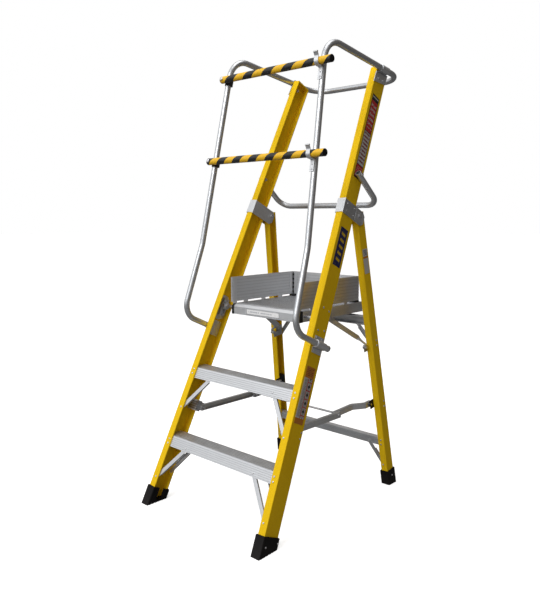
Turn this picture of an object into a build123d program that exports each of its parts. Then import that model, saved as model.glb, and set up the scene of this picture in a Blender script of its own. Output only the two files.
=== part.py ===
from build123d import *
from math import atan, cos, radians, sin, tan
import os

os.makedirs("parts", exist_ok=True)

# Platform step ladder. Millimetres, +Z up, +X to the climber's right, front faces -Y.
# The origin is on the floor, at the centre of the ladder's footprint box.

# ---- Driving dimensions ----
FOOT_Y = -537.5            # front face of the front stiles at floor level
STILE_LEAN = 24.82         # front stiles lean back from vertical, degrees
STILE_HALF = 351.84        # half width over the stiles at the floor
STILE_TAPER = 0.0524       # half width lost per mm climbed along the stile
STILE_LENGTH = 2104.0
STILE_DEPTH = 83.35
STILE_FLANGE = 34.5
STILE_WALL = 5.0

LEG_LEAN = 8.84            # rear legs lean forward from vertical, degrees
LEG_FOOT = 895.0           # front face of the rear legs at the floor, behind the front foot
LEG_HALF = 346.2
LEG_TAPER = 0.05643
LEG_LENGTH = 1281.0
LEG_DEPTH = 50.0
LEG_WIDTH = 33.0
LEG_WALL = 3.5

BOOT_HEIGHT = 81.0
REAR_BOOT_HEIGHT = 66.0
BOOT_WALL = 6.0
SOLE = 5.0

LOWER_STEP_TOP = 284.0
UPPER_STEP_TOP = 573.3
STEP_DEPTH = 68.0
STEP_APRON = 44.0
STEP_SKIRT = 24.0
STEP_WALL = 3.0

RAIL_RADIUS = 12.7
RAIL_WALL = 1.6
RAIL_OFFSET = 13.46        # rail centre line outside the stile web

GATE_RADIUS = 15.0
GATE_STANDOFF = 31.4       # gate bar centre line in front of the rail centre line

HINGE = (717.0, 1252.7)            # stile to rear leg pivot (back from front foot, height)
PLATFORM_PIVOT = (441.0, 838.0)
LINK_TOP = (587.0, 820.0)
LINK_BOTTOM = (772.5, 668.0)
SPREADER_FRONT = (275.0, 392.0)
SPREADER_MIDDLE = (605.0, 388.0)
SPREADER_REAR = (815.0, 396.0)

DECK_TOP = 860.0
DECK_HALF = 199.0
DECK_FRONT = 407.0
DECK_HEIGHT = 46.0
TOE_BOTTOM = 869.0
TOE_TOP = 980.5
TOE_THICKNESS = 8.0

RUNNING_FIT = 0.05         # radial clearance of a turning pin
OPEN_GAP = 0.6             # end gap where a closed linkage is opened

# ---- Reference frames ----
LEAN = radians(STILE_LEAN)
UP = Vector(0, sin(LEAN), cos(LEAN))
BACK = Vector(0, cos(LEAN), -sin(LEAN))
SPLAY = atan(STILE_TAPER)
ACROSS = Vector(1, 0, 0)

# Web frame: x = depth behind the stile's front face, y = up the stile, z = outwards.
WEB = Plane(
    origin=(STILE_HALF, FOOT_Y, 0),
    x_dir=BACK,
    z_dir=ACROSS * cos(SPLAY) + UP * sin(SPLAY),
)
# Front frame: x = across, y = up the stile, z = out of the front face.
FRONT = Plane(origin=(0, FOOT_Y, 0), x_dir=ACROSS, z_dir=BACK * -1)

REAR_LEAN = radians(LEG_LEAN)
LEG_UP = Vector(0, -sin(REAR_LEAN), cos(REAR_LEAN))
LEG_BACK = Vector(0, cos(REAR_LEAN), sin(REAR_LEAN))
LEG_SPLAY = atan(LEG_TAPER)
LEG_WEB = Plane(
    origin=(LEG_HALF, FOOT_Y + LEG_FOOT, 0),
    x_dir=LEG_BACK,
    z_dir=ACROSS * cos(LEG_SPLAY) + LEG_UP * sin(LEG_SPLAY),
)
REAR = Plane(origin=(0, FOOT_Y + LEG_FOOT, 0), x_dir=ACROSS, z_dir=LEG_BACK * -1)
REAR_SIDE = Plane(origin=(0, FOOT_Y + LEG_FOOT, 0), x_dir=LEG_BACK, z_dir=ACROSS)

# Side frame: x = back from the front foot, y = height, z = across.
SIDE = Plane(origin=(0, FOOT_Y, 0), x_dir=(0, 1, 0), z_dir=ACROSS)


# ---- Helpers ----
def at(across, back, height):
    """Point given across the ladder, back from the front foot, and above the floor."""
    return Vector(across, FOOT_Y + back, height)


def on_web(up, depth, out=0.0):
    """Place on the right front stile's outer web."""
    return WEB.location * Pos(depth, (up - out * sin(SPLAY)) / cos(SPLAY), out)


def on_leg(up, depth, out=0.0):
    """Place on the right rear leg's outer web."""
    return LEG_WEB.location * Pos(depth, up / cos(LEG_SPLAY), out)


def web_box(up, depth, out):
    """Box on the stile web from (low, high) pairs up the stile, in depth and outwards."""
    size = (depth[1] - depth[0], up[1] - up[0], out[1] - out[0])
    middle = on_web(sum(up) / 2, sum(depth) / 2, sum(out) / 2)
    return middle * Box(*size)


def leg_box(up, depth, out):
    """Box on the rear leg web, given like web_box."""
    size = (depth[1] - depth[0], up[1] - up[0], out[1] - out[0])
    middle = on_leg(sum(up) / 2, sum(depth) / 2, sum(out) / 2)
    return middle * Box(*size)


def block(across, back, height):
    """Box from (low, high) pairs across, back from the front foot, and in height."""
    size = (across[1] - across[0], back[1] - back[0], height[1] - height[0])
    return Pos(at(sum(across) / 2, sum(back) / 2, sum(height) / 2)) * Box(*size)


def prism(frame, points, low, high, corner=0.0):
    """Polygon drawn in a frame and extruded along the frame's normal."""
    outline = Polygon(*points, align=None)
    if corner > 0:
        outline = fillet(outline.vertices(), corner)
    solid = extrude(outline, high - low, dir=(0, 0, 1))
    return frame.location * Pos(0, 0, low) * solid


def rod(radius, pivot, start, end):
    """Round bar along X through a pivot given as (back, height)."""
    centre = at((start + end) / 2, pivot[0], pivot[1])
    return Pos(centre) * Rot(0, 90, 0) * Cylinder(radius, abs(end - start))


def opposite(shape):
    """The left-hand twin of a right-hand shape."""
    return mirror(shape, about=Plane.YZ)


def pair(shape):
    return [shape, opposite(shape)]


def dome(radius, height):
    """Rivet or screw head standing on the XY plane."""
    head = Cylinder(radius, height, align=(Align.CENTER, Align.CENTER, Align.MIN))
    return fillet(head.edges().group_by(Axis.Z)[-1], height * 0.7)


def hex_head(across_flats, height):
    """Bolt head standing on a round washer on the XY plane."""
    washer = Cylinder(across_flats * 0.72, 1.2, align=(Align.CENTER, Align.CENTER, Align.MIN))
    head = extrude(RegularPolygon(across_flats / 2, 6, major_radius=False), height)
    return washer + Pos(0, 0, 1.0) * head


def bent_path(points, radii):
    """Straight runs through the points, with a tangent arc at every inner point."""
    edges = []
    start = points[0]
    for index, radius in enumerate(radii, start=1):
        corner = points[index]
        before = (points[index - 1] - corner).normalized()
        after = (points[index + 1] - corner).normalized()
        half_angle = radians(before.get_angle(after)) / 2
        reach = radius / tan(half_angle)
        middle = corner + (before + after).normalized() * (radius / sin(half_angle) - radius)
        edges.append(Edge.make_line(start, corner + before * reach))
        edges.append(
            Edge.make_three_point_arc(corner + before * reach, middle, corner + after * reach)
        )
        start = corner + after * reach
    edges.append(Edge.make_line(start, points[-1]))
    return Wire(edges)


def tube(path, radius, wall):
    """Round tube along a path, open at both ends."""
    start = Plane(origin=path @ 0, z_dir=path % 0)
    return sweep(start * (Circle(radius) - Circle(radius - wall)), path=path)


def strip(path, width, thickness):
    """Flat strip along a path that lies in a plane square to X."""
    start = Plane(origin=path @ 0, x_dir=(1, 0, 0), z_dir=path % 0)
    return sweep(start * Rectangle(width, thickness), path=path)


def brace(start, end, facing, width, flat_end):
    """Channel brace with flat round ends, its face through both rivet points."""
    along = (end - start).normalized()
    outward = (facing - along * facing.dot(along)).normalized()
    length = (end - start).length
    frame = Plane(origin=start, x_dir=along, z_dir=outward)
    face = extrude(Pos(length / 2, 0) * SlotOverall(length + width, width), -2.2, dir=(0, 0, 1))
    body = face
    for edge in (-1, 1):
        lip = Box(length - 2 * flat_end, 2.2, 8.0)
        body += Pos(length / 2, edge * (width / 2 - 1.1), -4.0) * lip
    return frame.location * body


def save(name, shapes):
    """Write every solid of the given shapes as one named piece."""
    solids = []
    for shape in shapes:
        solids.extend(shape.solids())
    whole = solids[0] if len(solids) == 1 else Compound(solids)
    whole.label = name
    export_step(whole, "parts/" + name + ".step")


def channel(depth, width, wall):
    """Channel section: web along x at y = 0, flanges towards -y."""
    outer = Pos(depth / 2, -width / 2) * RectangleRounded(depth, width, 2.2)
    inner = Pos(depth / 2, -width / 2 - wall) * Rectangle(depth - 2 * wall, width)
    return outer - inner


def upright(frame, section, low, high):
    """Section drawn as (depth, outwards), run up a web frame."""
    face = Plane.XZ * section
    run = extrude(face, high - low, dir=(0, 1, 0))
    return frame.location * Pos(0, low, 0) * run


def floor_cut(height):
    """Everything below a height."""
    return Pos(0, 0, height - 500) * Box(1600, 2400, 1000)


# ---- Front stiles and feet ----
stile_section = channel(STILE_DEPTH, STILE_FLANGE, STILE_WALL)
stile = upright(WEB, stile_section, -60, STILE_LENGTH / cos(SPLAY)) - floor_cut(SOLE)

boot_outer = Pos(STILE_DEPTH / 2 - 0.5, -STILE_FLANGE / 2) * RectangleRounded(
    STILE_DEPTH + 2 * BOOT_WALL + 1.0, STILE_FLANGE + 2 * BOOT_WALL, 5.0
)
boot_inner = Pos(STILE_DEPTH / 2, -STILE_FLANGE / 2) * Rectangle(STILE_DEPTH, STILE_FLANGE)
boot = upright(WEB, boot_outer, -80, BOOT_HEIGHT)
boot_lip = Pos(STILE_DEPTH / 2, -STILE_FLANGE / 2) * RectangleRounded(
    STILE_DEPTH + 2 * BOOT_WALL - 3.0, STILE_FLANGE + 2 * BOOT_WALL - 3.0, 4.0
)
boot += upright(WEB, boot_lip, BOOT_HEIGHT - 1.0, BOOT_HEIGHT + 2.0)
boot_cavity = upright(WEB, boot_inner, -80, BOOT_HEIGHT + 10) - floor_cut(SOLE)
boot = boot - boot_cavity - floor_cut(0.0)
boot -= web_box((28, 120), (28, 54), (-60, -STILE_FLANGE + 0.1))
for groove in range(7):
    boot -= block((250, 400), (-3 + groove * 16, 1 + groove * 16), (-1, 1.6))

cap_width = STILE_FLANGE - STILE_WALL
cap_face = Pos(STILE_DEPTH / 2, -STILE_WALL - cap_width / 2) * Rectangle(
    STILE_DEPTH - 2 * STILE_WALL, cap_width
)
stile_top = STILE_LENGTH / cos(SPLAY)
stile_cap = upright(WEB, cap_face, stile_top - 6.0, stile_top)
save("stile_top_caps", pair(stile_cap))
save("front_stile_right", [stile])
save("front_stile_left", [opposite(stile)])
save("front_feet", pair(boot))


# ---- Steps ----
def behind_front(height, depth):
    """Distance back at a height, for a depth behind the stile's front face."""
    return (depth + height * sin(LEAN)) / cos(LEAN)


def web_gap(up):
    """Half width between the stile webs."""
    return STILE_HALF - STILE_WALL / cos(SPLAY) - STILE_TAPER * up


between_webs = prism(
    FRONT,
    [
        (-web_gap(0), 0),
        (web_gap(0), 0),
        (web_gap(STILE_LENGTH), STILE_LENGTH),
        (-web_gap(STILE_LENGTH), STILE_LENGTH),
    ],
    -200,
    200,
)


def tread(top):
    """Ribbed step with a grooved front apron and a short rear skirt."""
    face = top - 1.4
    low = top - STEP_APRON
    skirt = top - STEP_SKIRT
    front = behind_front(face, STILE_WALL)
    rear = front + STEP_DEPTH
    slant = STEP_WALL / cos(LEAN)
    section = Polygon(
        (behind_front(low, STILE_WALL), low),
        (front, face),
        (rear, face),
        (rear, skirt),
        (rear - STEP_WALL, skirt),
        (rear - STEP_WALL, face - STEP_WALL),
        (behind_front(face - STEP_WALL, STILE_WALL) + slant, face - STEP_WALL),
        (behind_front(low, STILE_WALL) + slant, low),
        align=None,
    )
    for rib in range(6):
        section += Pos(front + 6.5 + rib * 11.0, face + 0.5) * Rectangle(8.2, 1.8)
    for groove in range(5):
        height = top - 9 - groove * 7.5
        section -= Pos(behind_front(height, STILE_WALL), height) * Circle(1.1)
    section += Pos(behind_front(low + 2, STILE_WALL + 2.2), low + 2) * Circle(2.2)
    section += Pos(rear - 2.2, skirt + 1) * Circle(2.2)
    run = extrude(section, 360, both=True)
    return (SIDE.location * run) & between_webs


save("lower_step", [tread(LOWER_STEP_TOP)])
save("upper_step", [tread(UPPER_STEP_TOP)])

# Step braces: upper end on the apron, lower end on the stile's front flange.
BRACES = (((200.8, 280.2), (325.0, 125.0)), ((183.5, 603.6), (306.0, 445.3)))
step_braces = []
for upper, lower in BRACES:
    high_end = FRONT.from_local_coords(Vector(upper[0], upper[1], -10.4))
    low_end = FRONT.from_local_coords(Vector(lower[0], lower[1], -5.4))
    step_braces += pair(brace(low_end, high_end, BACK * -1, 18.0, 24.0))
# The lower step also has a pair from its rear skirt to the stiles' rear flanges.
rear_brace_high = FRONT.from_local_coords(Vector(197.0, 327.0, -79.5))
rear_brace_low = FRONT.from_local_coords(Vector(322.0, 160.0, -78.1))
step_braces += pair(brace(rear_brace_low, rear_brace_high, BACK, 18.0, 40.0))
save("step_braces", step_braces)

# ---- Platform brackets on the stile webs ----
platform_bracket = prism(
    WEB,
    [(18, 880), (46, 876), (74, 892), (76, 980), (60, 994), (20, 994)],
    -STILE_WALL - 4.0,
    -STILE_WALL,
    5.0,
)
for rib_depth in (30, 58):
    platform_bracket += web_box((898, 978), (rib_depth, rib_depth + 5), (-22.0, -8.5))
platform_bracket += rod(17.0, PLATFORM_PIVOT, 268.0, 290.5)
platform_bracket -= rod(8.0, PLATFORM_PIVOT, 240.0, 300.0)
platform_bracket &= web_box((860, 1010), (5.5, 77.8), (-40.0, -STILE_WALL))
save("platform_brackets", pair(platform_bracket))

platform_pin = rod(8.0, PLATFORM_PIVOT, 199.6, 288.0) + rod(6.0, PLATFORM_PIVOT, 188.0, 200.0)
save("platform_pivot_pins", pair(platform_pin))

# ---- Hinge brackets: bands round the stiles that carry the rear legs ----
BAND_LOW = 1401.0
BAND_HIGH = 1464.0
outer_plate = prism(WEB, [(-2, BAND_LOW), (140, BAND_LOW), (158, BAND_LOW + 14),
                          (158, BAND_HIGH - 14), (140, BAND_HIGH), (-2, BAND_HIGH)], 0, 2.2)
inner_plate = prism(WEB, [(-2, BAND_LOW), (126, BAND_LOW), (142, BAND_LOW + 14),
                          (142, BAND_HIGH - 14), (126, BAND_HIGH), (-2, BAND_HIGH)], -38.2, -36)
front_plate = web_box((BAND_LOW, BAND_HIGH), (-2.2, 0), (-38.2, 2.2))
band_rib = web_box((BAND_LOW + 3, BAND_HIGH - 3), (87, 93), (2.0, 3.8))
hinge_bracket = outer_plate + inner_plate + front_plate + fillet(band_rib.edges(), 0.8)
hinge_bracket -= rod(6.0, HINGE, 220, 300)
save("hinge_bracket_right", [hinge_bracket])
save("hinge_bracket_left", [opposite(hinge_bracket)])

hinge_pin = rod(6.0, HINGE, 232.5, 281.0) + rod(9.5, HINGE, 279.3, 283.0)
hinge_pin += rod(9.0, HINGE, 229.0, 236.6)
spreader_front_pin = rod(4.5, SPREADER_FRONT, 246.0, 270.0) + rod(7.5, SPREADER_FRONT, 243.5, 247.5)

# ---- Guard rail ----
GUARD_SIDE = (
    (438.9, 718.1),
    (224.1, 817.4),
    (326.9, 1129.7),
    (484.6, 1955.1),
    (1070.0, 1877.3),
)
KNEE_SIDE = ((689.4, 1436.0), (848.0, 1301.5))


def climb(point):
    """Distance up the stile direction of a side-view point."""
    return point[0] * sin(LEAN) + point[1] * cos(LEAN)


def rail_half(point):
    """Half width of the rails at a side-view point."""
    return STILE_HALF + RAIL_OFFSET - STILE_TAPER * climb(point)


def rail_points(side):
    right = [at(rail_half(p), p[0], p[1]) for p in side]
    left = [at(-rail_half(p), p[0], p[1]) for p in side]
    return right + left[::-1]


guard_radii = (76.0, 140.0, 98.0, 99.0)
guard_path = bent_path(rail_points(GUARD_SIDE), guard_radii + guard_radii[::-1])
save("guard_rail", [tube(guard_path, RAIL_RADIUS, RAIL_WALL)])

knee_path = bent_path(rail_points(KNEE_SIDE), (58.0, 58.0))
save("knee_rail", [tube(knee_path, RAIL_RADIUS, RAIL_WALL)])

plug_core = Cylinder(RAIL_RADIUS - RAIL_WALL, 16, align=(Align.CENTER, Align.CENTER, Align.MIN))
plug_head = Cylinder(RAIL_RADIUS + 0.8, 4.0, align=(Align.CENTER, Align.CENTER, Align.MAX))
plug_head = fillet(plug_head.edges().group_by(Axis.Z)[0], 2.5)
rail_plug = Plane(origin=guard_path @ 0, z_dir=guard_path % 0).location * (plug_core + plug_head)
save("guard_rail_plugs", pair(rail_plug))

# Lower saddles: a band over the rail with a flange above and below it.
SADDLE_UP = (836.0 - RAIL_OFFSET * sin(SPLAY)) / cos(SPLAY)
RAIL_SEAT = RAIL_RADIUS + 0.1
saddle_section = Pos(SADDLE_UP, RAIL_OFFSET) * Circle(RAIL_RADIUS + 2.6)
saddle_section += Pos(SADDLE_UP, RAIL_OFFSET / 2) * Rectangle(2 * RAIL_RADIUS + 5.2, RAIL_OFFSET)
saddle_section += Pos(834.5, 1.3) * Rectangle(71.0, 2.6)
saddle_section -= Pos(SADDLE_UP, RAIL_OFFSET) * Circle(RAIL_SEAT)
saddle_section -= Pos(SADDLE_UP, RAIL_OFFSET / 2 - 1) * Rectangle(2 * RAIL_SEAT, RAIL_OFFSET + 2)
saddle_section &= Pos(834.5, 20) * Rectangle(71.0, 40.0)
saddle_face = Plane.YZ * saddle_section
saddle = WEB.location * Pos(14.0, 0, 0) * extrude(saddle_face, 62.0, dir=(1, 0, 0))
backing_plate = web_box((799, 870), (14, 76), (-STILE_WALL - 2.6, -STILE_WALL))
save("guard_rail_saddles", pair(saddle) + pair(backing_plate))

# Top brackets: a plate on the stile web and a strap over the rail's top run.
run_start = GUARD_SIDE[3]
run_end = GUARD_SIDE[4]
top_slope = (at(0, run_end[0], run_end[1]) - at(0, run_start[0], run_start[1])).normalized()
run_depth = top_slope.dot(BACK)
run_rise = top_slope.dot(UP)
crossing = Vector(0, run_start[0], run_start[1]) + top_slope * 402.0
TOP_UP = crossing.dot(UP)
TOP_DEPTH = crossing.dot(BACK)


def along_run(distance, above):
    """Point in the web frame, measured along the top run and square above it."""
    depth = TOP_DEPTH + distance * run_depth - above * run_rise
    up = TOP_UP + distance * run_rise + above * run_depth
    return (depth, (up - RAIL_OFFSET * sin(SPLAY)) / cos(SPLAY))


strap_section = Pos(0, RAIL_OFFSET) * Circle(RAIL_RADIUS + 2.6)
strap_section += Pos(0, RAIL_OFFSET / 2) * Rectangle(2 * RAIL_RADIUS + 5.2, RAIL_OFFSET)
strap_section -= Pos(0, RAIL_OFFSET) * Circle(RAIL_SEAT)
strap_section -= Pos(0, RAIL_OFFSET / 2 - 1) * Rectangle(2 * RAIL_SEAT, RAIL_OFFSET + 2)
strap = extrude(Plane.YZ * strap_section, 58.0, dir=(1, 0, 0))
strap_turn = Plane(
    origin=(along_run(6, 0)[0], along_run(6, 0)[1], 0),
    x_dir=(run_depth, run_rise, 0),
    z_dir=(0, 0, 1),
)
strap = WEB.location * strap_turn.location * strap
web_plate = prism(
    WEB,
    [along_run(-8, -13.5), along_run(82, -13.5), (80, 2062), (-4, 2030)],
    0.0,
    2.6,
)
top_bracket = strap + web_plate
save("guard_rail_top_brackets", pair(top_bracket))

screws = []
for depth in (26, 62):
    screws += pair(on_web(861, depth, 2.6) * dome(4.6, 2.4))
    screws += pair(on_web(809, depth, 2.6) * dome(4.6, 2.4))
    screws += pair(on_web(861, depth, -STILE_WALL - 2.6) * Rot(180, 0, 0) * dome(4.6, 3.0))
    screws += pair(on_web(2052 + depth * 0.28, depth, 2.6) * hex_head(10.0, 4.0))
screws += pair(on_web(2074, 40, -STILE_WALL) * Rot(180, 0, 0) * hex_head(10.0, 4.0))
save("guard_rail_screws", screws)

knee_bolts = []
knee_bolts += pair(on_web(1589, 36.4, RAIL_OFFSET + RAIL_RADIUS) * hex_head(11.0, 5.0))
knee_bolts += pair(on_web(1589, 36.4, -STILE_WALL) * Rot(180, 0, 0) * hex_head(11.0, 6.0))
save("knee_rail_bolts", knee_bolts)

# ---- Gate bars, their hooks and pivots ----
RISER_FOOT = GUARD_SIDE[2]  # ends of the rail's straight upright run
RISER_HEAD = GUARD_SIDE[3]
rail_slope = (RISER_HEAD[0] - RISER_FOOT[0]) / (RISER_HEAD[1] - RISER_FOOT[1])
rail_up = Vector(0, rail_slope, 1).normalized()
rail_out = Vector(0, -rail_up.Z, rail_up.Y)
UPPER_GATE = 1846.1        # height of the rail point behind each bar
LOWER_GATE = 1487.1
UPPER_REACH = 334.0        # right-hand end of each bar
LOWER_REACH = 358.0


def gate_point(height):
    """Right-hand rail centre behind a gate bar, and the half width there."""
    back = RISER_FOOT[0] + rail_slope * (height - RISER_FOOT[1])
    half = rail_half((back, height))
    return at(half, back, height)


def gate_frame(height, side):
    """Frame on a rail: x = across, y = up the rail seen from the side, z = forwards."""
    centre = gate_point(height)
    centre = Vector(centre.X * side, centre.Y, centre.Z)
    return Plane(origin=centre, x_dir=ACROSS, z_dir=rail_out)


def clip_frame(height):
    """Frame on the left-hand rail with y along the rail itself."""
    centre = gate_frame(height, -1).origin
    top = at(-rail_half(RISER_HEAD), RISER_HEAD[0], RISER_HEAD[1])
    return Plane(origin=centre, x_dir=(top - centre).cross(rail_out), z_dir=rail_out)


def gate_bar(height, reach):
    """Bar with a pivot hole near its left-hand end, and its two end caps."""
    frame = gate_frame(height, -1)
    pivot = frame.origin.X
    start = pivot - 13.5
    middle = (start + reach) / 2 - pivot
    bar = Pos(middle, 0, GATE_STANDOFF) * Rot(0, 90, 0) * Cylinder(GATE_RADIUS, reach - start - 8)
    hole = Pos(0, 0, GATE_STANDOFF) * Cylinder(4.0 + RUNNING_FIT, 60)
    caps = []
    for end, turn in ((start, -90), (reach, 90)):
        cap = Cylinder(GATE_RADIUS, 4.0, align=(Align.CENTER, Align.CENTER, Align.MAX))
        cap = fillet(cap.edges().group_by(Axis.Z)[-1], 3.2)
        caps.append(frame.location * Pos(end - pivot, 0, GATE_STANDOFF) * Rot(0, turn, 0) * cap)
    return frame.location * (bar - hole), caps


upper_bar, upper_caps = gate_bar(UPPER_GATE, UPPER_REACH)
lower_bar, lower_caps = gate_bar(LOWER_GATE, LOWER_REACH)
save("gate_bar_upper", [upper_bar])
save("gate_bar_upper_caps", upper_caps)
save("gate_bar_lower", [lower_bar])
save("gate_bar_lower_caps", lower_caps)

clips = []
pivot_bolts = []
for height in (UPPER_GATE, LOWER_GATE):
    collar = Rot(90, 0, 0) * Cylinder(15.6, 34) + Pos(0, 0, -17.5) * Box(9, 30, 10)
    collar -= Rot(90, 0, 0) * Cylinder(RAIL_SEAT, 40)
    collar -= Cylinder(4.0, 60, align=(Align.CENTER, Align.CENTER, Align.MIN))
    clips.append(clip_frame(height).location * collar)
    shank = Pos(0, 0, 13.0) * Cylinder(4.0, 34.5, align=(Align.CENTER, Align.CENTER, Align.MIN))
    bolt = shank + Pos(0, 0, 47.0) * dome(8.0, 4.0)
    pivot_bolts.append(gate_frame(height, -1).location * bolt)
save("gate_pivot_clips", clips)
save("gate_pivot_bolts", pivot_bolts)


def hook(height):
    """Bent strip under a gate bar's free end, open upwards so the bar lifts out."""
    frame = gate_frame(height, 1)
    front = GATE_STANDOFF + GATE_RADIUS + 2.1
    outline = (
        (-66, RAIL_RADIUS + 1.5),
        (-17.6, RAIL_RADIUS + 1.5),
        (-17.6, front),
        (14, front),
        (27, front + 9),
    )
    points = [frame.from_local_coords(Vector(0, up, out)) for up, out in outline]
    path = bent_path(points, (5.0, 15.5, 12.0))
    body = strip(path, 20.0, 3.0)
    tip = frame.location * Pos(0, 27, front + 9) * Rot(0, 90, 0) * Cylinder(3.4, 20.0)
    return body + tip


save("gate_hook_upper", [hook(UPPER_GATE)])
save("gate_hook_lower", [hook(LOWER_GATE)])

# ---- Front frame rivets ----
rivet = dome(4.2, 2.2)
front_rivets = []
for across, up in ((300, 624.5), (301.5, 603), (314.5, 297.5), (315.5, 277.5),
                   (306.0, 445.3), (325.0, 125.0)):
    front_rivets += pair(FRONT.location * Pos(across, up, 0) * rivet)
for across, up in ((183.5, 603.6), (200.8, 280.2)):
    front_rivets += pair(FRONT.location * Pos(across, up, -STILE_WALL) * rivet)
for across, up, depth in ((322, 160, STILE_DEPTH), (197, 327, 79.7)):
    front_rivets += pair(FRONT.location * Pos(across, up, -depth) * Rot(180, 0, 0) * rivet)
for up, depth in ((988, 26), (984, 67), (892, 25), (900, 66), (484, 73), (459, 73)):
    front_rivets += pair(on_web(up, depth) * rivet)
for up, depth in ((1449, 22), (1416, 22), (1449, 76), (1416, 76)):
    front_rivets += pair(on_web(up, depth, 2.2) * rivet)
for up, depth in ((45, 14), (63, 81)):
    front_rivets += pair(on_web(up, depth, BOOT_WALL) * rivet)
for height in (UPPER_GATE, LOWER_GATE):
    frame = gate_frame(height, 1)
    for up in (-36, -56):
        front_rivets.append(frame.location * Pos(0, up, RAIL_RADIUS + 3.0) * rivet)
save("front_frame_rivets", front_rivets)

# ---- Labels on the front stiles (blank plates, no lettering) ----
save("rating_label", [web_box((1575, 1978), (16, 68), (0, 0.5))])
save("name_label", [web_box((1174, 1343), (16, 68), (0, 0.5))])
save("safety_label", [web_box((512, 742), (12, 68), (0, 0.5))])

# ---- Rear legs and feet ----
leg_section = channel(LEG_DEPTH, LEG_WIDTH, LEG_WALL)
leg = upright(LEG_WEB, leg_section, -40, LEG_LENGTH / cos(LEG_SPLAY)) - floor_cut(SOLE)
leg -= rod(10.0, HINGE, 220, 300)
save("rear_leg_right", [leg])
save("rear_leg_left", [opposite(leg)])

rear_outer = Pos(LEG_DEPTH / 2, -LEG_WIDTH / 2) * RectangleRounded(
    LEG_DEPTH + 2 * BOOT_WALL, LEG_WIDTH + 2 * BOOT_WALL, 5.0
)
rear_inner = Pos(LEG_DEPTH / 2, -LEG_WIDTH / 2) * Rectangle(LEG_DEPTH, LEG_WIDTH)
rear_lip = Pos(LEG_DEPTH / 2, -LEG_WIDTH / 2) * RectangleRounded(
    LEG_DEPTH + 2 * BOOT_WALL - 3.0, LEG_WIDTH + 2 * BOOT_WALL - 3.0, 4.0
)
rear_boot = upright(LEG_WEB, rear_outer, -60, REAR_BOOT_HEIGHT)
rear_boot += upright(LEG_WEB, rear_lip, REAR_BOOT_HEIGHT - 1, REAR_BOOT_HEIGHT + 2)
rear_cavity = upright(LEG_WEB, rear_inner, -60, REAR_BOOT_HEIGHT + 10) - floor_cut(SOLE)
rear_boot = rear_boot - rear_cavity - floor_cut(0.0)
for groove in range(4):
    rear_boot -= block((250, 400), (902 + groove * 13, 906 + groove * 13), (-1, 1.6))
save("rear_feet", pair(rear_boot))

bush = rod(10.0, HINGE, 243.5, 275.2) - rod(6.0 + RUNNING_FIT, HINGE, 230, 290)
save("hinge_bushes", pair(bush))

# ---- Rear cross bars and braces ----
lower_face = Pos(6.5, 211) * Rectangle(3.0, 38.0)
for rib in range(6):
    lower_face += Pos(4.7, 196 + rib * 6.0) * Rectangle(1.8, 2.6)
lower_lips = Pos(15.5, 228.5) * Rectangle(21.0, 3.0) + Pos(15.5, 193.5) * Rectangle(21.0, 3.0)
rear_lower = extrude(lower_face + lower_lips, 329, both=True)
save("rear_lower_bar", [REAR_SIDE.location * rear_lower])

upper_face = Pos(51.5, 786) * Rectangle(3.0, 40.0)
upper_lips = Pos(40, 804.5) * Rectangle(22.0, 3.0) + Pos(40, 767.5) * Rectangle(22.0, 3.0)
rear_upper = extrude(upper_face, 297, both=True) + extrude(upper_lips, 262, both=True)
save("rear_upper_bar", [REAR_SIDE.location * rear_upper])


def rear_point(across, up, depth):
    return REAR.from_local_coords(Vector(across, up, -depth))


rear_braces = []
front_low = rear_point(322, 98, 3.6)
front_high = rear_point(250, 203, 1.3)
# The lower end is pressed flat against the back of the leg's front flange.
front_brace = brace(front_low, front_high, LEG_BACK * -1, 18.0, 44.0)
front_brace -= Pos(LEG_BACK * 0.05) * leg
rear_braces += pair(front_brace)
back_low = rear_point(291, 648, 52.6)
back_high = rear_point(184, 776, 56.6)
rear_braces += pair(brace(back_low, back_high, LEG_BACK, 18.0, 36.0))
save("rear_braces", rear_braces)

rear_rivets = []
for up, depth in ((700, 33), (676, 33), (407, 36), (383, 36)):
    rear_rivets += pair(on_leg(up, depth) * rivet)
for up in (200, 222):
    rear_rivets += pair(REAR.location * Pos(317, up, 0) * rivet)
rear_rivets += pair(REAR.location * Pos(322, 98, 0) * rivet)
rear_rivets += pair(REAR.location * Pos(250, 203, -1.1) * rivet)
rear_rivets += pair(on_leg(40, 25, BOOT_WALL) * rivet)
save("rear_frame_rivets", rear_rivets)
save("rear_leg_label", [leg_box((1010, 1120), (8, 42), (0, 0.5))])

# ---- Platform ----
DECK_BOTTOM = DECK_TOP - DECK_HEIGHT
NOSE_REAR = 445.0
PLANKS = 3
PLANK_PITCH = 126.0


def plank(front):
    """Deck plank with ribs along its length and two stiffening webs under it."""
    rear = front + PLANK_PITCH - 1.0
    middle = (front + rear) / 2
    section = Pos(middle, DECK_TOP - 3.2) * Rectangle(rear - front, 3.0)
    for rib in range(15):
        section += Pos(front + 6.5 + rib * 8.0, DECK_TOP - 1.0) * Rectangle(3.4, 2.0)
    for web in (front + 6.0, middle, rear - 6.0):
        section += Pos(web, DECK_TOP - 12) * Rectangle(3.0, 20.0)
    return SIDE.location * extrude(section, 195.7, both=True)


planks = [plank(446.5 + PLANK_PITCH * number) for number in range(PLANKS)]
save("platform_deck", planks)

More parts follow.
